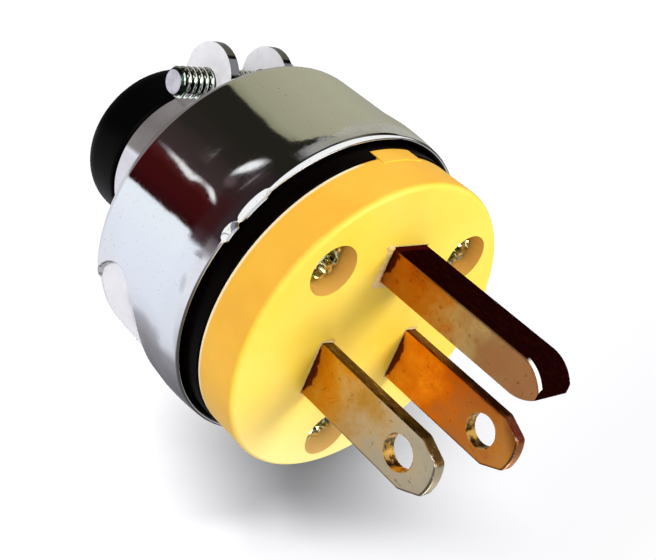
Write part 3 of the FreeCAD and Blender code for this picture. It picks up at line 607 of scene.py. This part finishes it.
finishes = {platedSteel: ["steel_shell"], yellowNylon: ["front_body"], blackPhenolic: ["insulating_cup"],
            greyFibre: ["blade_retainer"], neutralBrass: ["neutral_blade"], hotBrass: ["hot_blade"],
            pinBrass: ["ground_pin"], screwBrass: ["face_screw_left", "face_screw_right", "face_screw_low",
                                                   "hot_screw", "hot_plate", "ground_plate",
                                                   "retainer_screw_left", "retainer_screw_right"],
            screwNickel: ["neutral_screw", "neutral_plate"], screwGreen: ["ground_screw"],
            blackRubber: ["cord_bushing"], clampSteel: ["clamp_half_left", "clamp_half_right"],
            clampZinc: ["clamp_screw_top", "clamp_screw_low"]}
for material, names in finishes.items():
    for name in names:
        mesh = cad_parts[name].data
        mesh.materials.clear()
        mesh.materials.append(material)
print("finishes on the carried-over pieces")

# Plated shell with its rolled lip and the flat-pressed oval label panel, left blank

shellCfg = {"radius": 18.8, "rearZ": 18.4, "shoulder": 1.5, "straightZ": 26.8, "swellZ": 30.5, "swell": 0.2,
            "rimZ": 34.6, "rimIn": 0.1, "lip": 0.3, "sheet": 0.75, "hole": 10.1, "holeRound": 0.25,
            "around": 720, "rows": 96, "bevel": 0.45, "panelTurn": 220.0, "panelZ": 23.4, "panelWide": 9.8,
            "panelTall": 4.1, "panelEdge": 0.18, "panelSunk": 0.38, "panelFlat": 0.3, "panelOut": 5.6,
            "thick": [(112.0, 26.5, 0.28), (143.5, 6.5, 0.6), (154.0, 3.4, 0.7)]}


def shellRadiusAt(z, cfg):
    # Straight wall, a slight swell, then in to the rim
    if z <= cfg["straightZ"]:
        return cfg["radius"]
    if z <= cfg["swellZ"]:
        t = (z - cfg["straightZ"]) / (cfg["swellZ"] - cfg["straightZ"])
        return cfg["radius"] + cfg["swell"] * t * t * (3 - 2 * t)
    t = (z - cfg["swellZ"]) / (cfg["rimZ"] - cfg["swellZ"])
    return cfg["radius"] + cfg["swell"] - (cfg["swell"] + cfg["rimIn"]) * t * t


def panelDepthAt(turn, z, cfg):
    off = math.radians((turn - cfg["panelTurn"] + 180) % 360 - 180)
    if abs(off) > 1.2:
        return 0.0
    u = cfg["radius"] * math.sin(off) / cfg["panelWide"]
    tall = cfg["panelTall"] if z > cfg["panelZ"] else cfg["panelOut"]
    v = (z - cfg["panelZ"]) / tall
    q = max(0.01, math.hypot(u, v))
    inward = (1 - q) * q / math.hypot(u / cfg["panelWide"], v / tall)  # millimetres from the edge of the oval
    t = min(1.0, max(0.0, inward / cfg["panelEdge"]))
    return t * t * (3 - 2 * t) * (cfg["panelSunk"] + cfg["panelFlat"] * max(0.0, 1 - u * u))


def lipDropAt(turn, z, cfg):
    # How far the rolled edge has curled in at this height, beyond the plain lip
    extra = 0.0
    for middle, half, more in cfg["thick"]:
        t = max(0.0, 1 - ((turn - middle) / half) ** 2)
        extra = max(extra, more * math.sqrt(t))
    here = cfg["lip"] + extra
    low = cfg["rimZ"] - here
    if extra == 0.0 or z <= low:
        return 0.0
    t = min(1.0, (z - low) / here)
    plain = max(0.0, (z - cfg["rimZ"] + cfg["lip"]) / cfg["lip"])
    return here * (1 - math.sqrt(1 - t * t)) - cfg["lip"] * (1 - math.sqrt(max(0.0, 1 - plain * plain)))


def makeShell(name, node, cfg):
    inner, rearZ, rimZ = cfg["radius"] - cfg["sheet"], cfg["rearZ"], cfg["rimZ"]
    sheetZ = rearZ + cfg["sheet"]
    profile = []  # (radius, z, share of the panel's press that this row takes)
    for k in range(5):
        a = math.radians(180 + 90 * k / 4)
        profile.append((cfg["hole"] + cfg["holeRound"] * (1 + math.cos(a)),
                        rearZ + cfg["holeRound"] * (1 + math.sin(a)), 0.0))
    flat = cfg["radius"] - cfg["shoulder"]
    profile += [(cfg["hole"] + (flat - cfg["hole"]) * t, rearZ, 0.0) for t in (0.3, 0.65, 0.9)]
    for k in range(9):
        a = math.radians(-90 + 90 * k / 8)
        profile.append((flat + cfg["shoulder"] * math.cos(a), rearZ + cfg["shoulder"] * (1 + math.sin(a)), 1.0))
    low, high = rearZ + cfg["shoulder"], rimZ - cfg["lip"]
    for k in range(1, cfg["rows"] + 1):
        z = low + (high - low) * k / cfg["rows"]
        profile.append((shellRadiusAt(z, cfg), z, 1.0))
    out = shellRadiusAt(high, cfg)
    for k in range(1, 8):
        a = math.radians(90 * k / 7)
        profile.append((out - cfg["lip"] * (1 - math.cos(a)), high + cfg["lip"] * math.sin(a), 0.0))
    profile += [(inner, rimZ - cfg["bevel"], 0.0), (inner, 30.0, 0.0), (inner, 24.0, 0.0),
                (inner, sheetZ + 0.8, 0.0), (inner - 0.8, sheetZ, 0.0), (cfg["hole"], sheetZ, 0.0)]
    bm = bmesh.new()
    grid = []
    for radius, z, press in profile:
        ring = []
        for j in range(cfg["around"]):
            turn = 360 * j / cfg["around"]
            a = math.radians(turn)
            r = radius - press * panelDepthAt(turn, z, cfg)
            if radius > inner + 0.1:
                r = max(inner + 0.05, r - lipDropAt(turn, z, cfg))
            ring.append(bm.verts.new((r * math.cos(a) * mm, r * math.sin(a) * mm, z * mm)))
        grid.append(ring)
    joinRings(bm, zip(grid, grid[1:] + grid[:1]))
    mesh = closeMesh(name, bm)
    mesh.polygons.foreach_set("use_smooth", [True] * len(mesh.polygons))
    shell = addObject(name, mesh, [platedSteel, satinPlate])
    for face in mesh.polygons:
        x, y, z = face.center / mm
        pressed = panelDepthAt(math.degrees(math.atan2(y, x)), z, cfg) > 0.05 * cfg["panelSunk"]
        outside = math.hypot(x, y) > inner - 0.2 and z > rearZ + 0.9
        face.material_index = 1 if pressed and outside else 0

    # The threaded collars behind the rear face come over from the part
    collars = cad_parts["steel_shell"].data.copy()
    bm = bmesh.new()
    bm.from_mesh(collars)
    reach = (rearZ + 0.01) * mm
    bmesh.ops.delete(bm, geom=[f for f in bm.faces if max(v.co.z for v in f.verts) > reach], context="FACES")
    bm.to_mesh(collars)
    bm.free()
    collars.materials.clear()
    behind = addObject(name + "Collars", collars, [platedSteel])
    for piece in (shell, behind):
        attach(piece, "root")
        notFloor.objects.link(piece)
    leaveOut(notFloor)
    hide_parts(node)


makeShell("platedShell", "steel_shell", shellCfg)
print("shell spun")

# Bright chewed heads of the three face screws

faceScrew = {"top": 41.0, "radius": 2.7, "tall": 2.4, "dome": 0.9, "slotWide": 0.95, "slotDeep": 0.95,
             "around": 22, "rings": 7, "chip": 0.2, "burr": 0.4, "burrWide": 0.35, "rodRadius": 1.75,
             "rodAround": 40}
# Place, angle of the slot and seed of the chips
faceScrews = {"face_screw_left": (-9.9, 8.4, 62, 5), "face_screw_right": (9.9, 8.4, 20, 9),
              "face_screw_low": (0.0, -13.4, 140, 14)}


def makeFaceHead(name, node, cfg, spec):
    x, y, turn, seed = spec
    chance = random.Random(seed)
    spin = Matrix.Rotation(math.radians(turn), 2)

    def addPoint(u, v, z):
        across = spin @ Vector((u, v))
        return bm.verts.new(((x + across.x) * mm, (y + across.y) * mm, z * mm))

    bm = bmesh.new()
    grid = []
    for i in range(cfg["rings"] + 1):
        share = i / cfg["rings"]
        ring = []
        for j in range(cfg["around"]):
            angle = 2 * math.pi * (j + 0.5 * (i % 2)) / cfg["around"]
            radius = cfg["radius"] * (0.04 + 0.96 * share)
            u, v = radius * math.cos(angle), radius * math.sin(angle)
            height = -cfg["dome"] * share ** 3
            if abs(v) < cfg["slotWide"] / 2:
                height = -cfg["slotDeep"]
            elif abs(v) < cfg["slotWide"] / 2 + cfg["burrWide"]:
                height += cfg["burr"] * chance.random()
            if share < 0.97:
                height += cfg["chip"] * (chance.random() - 0.5) * 2
                u += 0.1 * (chance.random() - 0.5)
                v += 0.06 * (chance.random() - 0.5)
            ring.append(addPoint(u, v, cfg["top"] + min(height, 0.1)))
        grid.append(ring)
    skirt = []
    for j in range(cfg["around"]):
        angle = 2 * math.pi * (j + 0.5 * (cfg["rings"] % 2)) / cfg["around"]
        skirt.append(addPoint(cfg["radius"] * math.cos(angle), cfg["radius"] * math.sin(angle),
                              cfg["top"] - cfg["tall"]))
    grid.append(skirt)
    bm.faces.new(list(grid[0]))
    for one, two in zip(grid, grid[1:]):
        for j in range(cfg["around"]):
            k = (j + 1) % cfg["around"]
            bm.faces.new((one[j], one[k], two[k]))
            bm.faces.new((one[j], two[k], two[j]))
    bm.faces.new(list(reversed(skirt)))
    shank = cfg["top"] - cfg["tall"]
    bottom = min(v.co.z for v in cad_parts[node].data.vertices)
    rod = bmesh.ops.create_cone(bm, cap_ends=True, segments=cfg["rodAround"], radius1=cfg["rodRadius"] * mm,
                                radius2=cfg["rodRadius"] * mm, depth=shank * mm - bottom)
    bmesh.ops.translate(bm, verts=rod["verts"], vec=(x * mm, y * mm, (shank * mm + bottom) / 2))
    head = addObject(name, closeMesh(name, bm), [chippedBrass])
    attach(head, "root")
    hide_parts(node)


for node, spec in faceScrews.items():
    makeFaceHead("head_" + node, node, faceScrew, spec)
print("face screws in place")

# Clamp screws with rolled threads

clampScrew = {"headX": 4.7, "headRadius": 3.4, "headTall": 2.5, "dome": 1.0, "threadRadius": 1.75,
              "rootRadius": 1.32, "pitch": 0.794, "tipX": -9.2, "tipCone": 0.55, "tipRadius": 1.3,
              "height": 11.5, "aside": 12.4, "slotWide": 0.9, "slotDeep": 1.0, "slotReach": 9, "around": 56,
              "rowsPerTurn": 10, "sharpFrom": 38}


def threadRadiusAt(phase, cfg):
    # Rolled V thread with a flat crest and a rounded root
    wave = abs((phase % 1.0) * 2 - 1)
    wave = min(1.0, max(0.0, (wave - 0.12) / 0.72))
    return cfg["rootRadius"] + (cfg["threadRadius"] - cfg["rootRadius"]) * (wave * wave * (3 - 2 * wave))


def cutSlot(screw, cfg, y):
    reach = cfg["slotReach"]
    cutter = bpy.data.objects.new("slotCutter", bpy.data.meshes.new("slotCutter"))
    x0, x1 = (cfg["headX"] + cfg["headTall"] - cfg["slotDeep"]) * mm, (cfg["headX"] + reach) * mm
    y0, y1 = (y - reach) * mm, (y + reach) * mm
    z0, z1 = (cfg["height"] - cfg["slotWide"] / 2) * mm, (cfg["height"] + cfg["slotWide"] / 2) * mm
    corners = [(x, yy, z) for x in (x0, x1) for yy in (y0, y1) for z in (z0, z1)]
    sides = [(0, 1, 3, 2), (4, 6, 7, 5), (0, 4, 5, 1), (2, 3, 7, 6), (0, 2, 6, 4), (1, 5, 7, 3)]
    cutter.data.from_pydata(corners, [], sides)
    bpy.context.scene.collection.objects.link(cutter)
    cut = screw.modifiers.new("slot", "BOOLEAN")
    cut.operation = "DIFFERENCE"
    cut.object = cutter
    cut.solver = "EXACT"
    bpy.context.view_layer.update()
    done = bpy.data.meshes.new_from_object(screw.evaluated_get(bpy.context.evaluated_depsgraph_get()))
    screw.modifiers.clear()
    screw.data = done
    bpy.data.objects.remove(cutter)
    return done


def makeClampScrew(name, node, cfg, y, turned):
    length = cfg["headX"] - cfg["tipX"]
    rows = int(length / cfg["pitch"] * cfg["rowsPerTurn"])
    angles = [2 * math.pi * j / cfg["around"] for j in range(cfg["around"])]
    bm = bmesh.new()
    grid = []
    for i in range(rows + 1):
        along = length * i / rows  # 0 at the head's seat, length at the tip
        left = length - along
        ring = []
        for j, angle in enumerate(angles):
            radius = threadRadiusAt(along / cfg["pitch"] - j / cfg["around"] + turned, cfg)
            if left < cfg["tipCone"]:
                coned = cfg["tipRadius"] + (cfg["threadRadius"] - cfg["tipRadius"]) * left / cfg["tipCone"]
                radius = min(radius, coned)
            ring.append(bm.verts.new((cfg["headX"] - along, y + radius * math.cos(angle),
                                      cfg["height"] + radius * math.sin(angle))))
        grid.append(ring)
    flatTall = cfg["headTall"] - cfg["dome"]
    headProfile = [(0.0, cfg["headRadius"] - 0.15), (0.15, cfg["headRadius"]), (flatTall, cfg["headRadius"])]
    for k in range(1, 8):
        a = math.radians(90 * k / 8)
        headProfile.append((flatTall + cfg["dome"] * math.sin(a),
                            cfg["headRadius"] - cfg["dome"] * (1 - math.cos(a))))
    headProfile.append((cfg["headTall"], cfg["headRadius"] - cfg["dome"]))
    headProfile.append((cfg["headTall"] + 0.12, cfg["headRadius"] * 0.35))
    under = [grid[0]]
    for out, radius in headProfile:
        under.append([bm.verts.new((cfg["headX"] + out, y + radius * math.cos(angle),
                                    cfg["height"] + radius * math.sin(angle))) for angle in angles])
    joinRings(bm, list(zip(grid, grid[1:])) + [(b, a) for a, b in zip(under, under[1:])])
    bm.faces.new(list(reversed(under[-1])))
    bm.faces.new(grid[-1])
    mesh = closeMesh(name, bm)
    for v in mesh.vertices:
        v.co = v.co * mm
    screw = addObject(name, mesh)
    done = cutSlot(screw, cfg, y)
    done.materials.clear()
    for material in (clampZinc, threadRootGreenAndShade, clampTip):
        done.materials.append(material)
    halfDeep = (cfg["rootRadius"] + cfg["threadRadius"]) / 2
    for face in done.polygons:
        along = face.center.x / mm
        out = math.hypot(face.center.y / mm - y, face.center.z / mm - cfg["height"])
        inThread = cfg["tipX"] + 0.05 < along < cfg["headX"] and out > cfg["rootRadius"] * 0.95
        # Faces deep in the thread take the green root colour with its painted shade
        face.material_index = 1 if inThread and out < halfDeep else 0
        if along < cfg["tipX"] + 0.05:
            face.material_index = 2
    done.polygons.foreach_set("use_smooth", [True] * len(done.polygons))
    done.set_sharp_from_angle(angle=math.radians(cfg["sharpFrom"]))
    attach(screw, "root")
    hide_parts(node)


makeClampScrew("clampScrewTop", "clamp_screw_top", clampScrew, clampScrew["aside"], 0.0)
makeClampScrew("clampScrewLow", "clamp_screw_low", clampScrew, -clampScrew["aside"], 0.35)
print("clamp screws threaded")

# Ragged mould flash round the slots of the face

slotLips = {"faceZ": 42.3, "step": 0.12, "inset": 0.02, "sunk": 0.5, "firstSeed": 3}
# Middle x and y, half sizes of the metal, spread and height of the flash, share of it all round, extra
# height, way it leans to
slots = {
    "slotLipNeutral": (-6.35, -3.43, 0.76, 3.175, 0.24, 0.08, 0.7, 0.24, (0.0, 1.0)),
    "slotLipHot": (6.35, -3.43, 0.76, 3.175, 0.2, 0.05, 0.8, 0.14, (0.0, 1.0)),
    "slotLipGround": (0.0, 8.65, 2.53, 2.0, 1.1, 0.03, 0.06, 0.2, (-0.8, -0.6)),
}


def makeSlotLip(name, cfg, spec, seed):
    x, y, halfX, halfY, spread, tall, allRound, extra, lean = spec
    chance = random.Random(seed)
    corners = [(-halfX, -halfY), (halfX, -halfY), (halfX, halfY), (-halfX, halfY)]
    path = []
    for (ax, ay), (bx, by) in zip(corners, corners[1:] + corners[:1]):
        length = math.hypot(bx - ax, by - ay)
        count = max(4, int(length / cfg["step"]))
        nx, ny = (by - ay) / length, -(bx - ax) / length
        for i in range(count):
            t = i / count
            path.append((ax + (bx - ax) * t, ay + (by - ay) * t, nx, ny))
    count = len(path)
    knots = [chance.random() for _ in range(count // 3 + 1)]
    bm = bmesh.new()
    rows = []
    for i, (px, py, nx, ny) in enumerate(path):
        before, after = path[i - 1], path[(i + 1) % count]
        nx, ny = nx + before[2] + after[2], ny + before[3] + after[3]
        size = math.hypot(nx, ny)
        nx, ny = nx / size, ny / size
        place = i / count * len(knots)
        k, part = int(place), place - int(place)
        wave = knots[k % len(knots)] * (1 - part) + knots[(k + 1) % len(knots)] * part
        rag = 0.55 + 0.9 * wave + 0.35 * (chance.random() - 0.5)
        leaning = max(0.0, nx * lean[0] + ny * lean[1])
        top = (tall + extra * leaning) * rag
        out = spread * (allRound + (1 - allRound) * leaning) * (0.5 + 0.9 * wave)
        section = ((cfg["inset"], -cfg["sunk"]), (cfg["inset"], top * 0.75), (out * 0.35, top),
                   (out * 0.75, top * 0.55), (out, 0.02), (out + 0.05, -0.1))
        rows.append([bm.verts.new(((x + px + nx * away) * mm, (y + py + ny * away) * mm,
                                   (cfg["faceZ"] + height) * mm)) for away, height in section])
    joinRings(bm, zip(rows, rows[1:] + rows[:1]))
    mesh = closeMesh(name, bm)
    mesh.polygons.foreach_set("use_smooth", [True] * len(mesh.polygons))
    lip = addObject(name, mesh, [flashNylon])
    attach(lip, "root")


for number, (name, spec) in enumerate(slots.items()):
    makeSlotLip(name, slotLips, spec, number + slotLips["firstSeed"])
print("flash round the slots")

scene = bpy.context.scene
scene.view_settings.view_transform = "Standard"
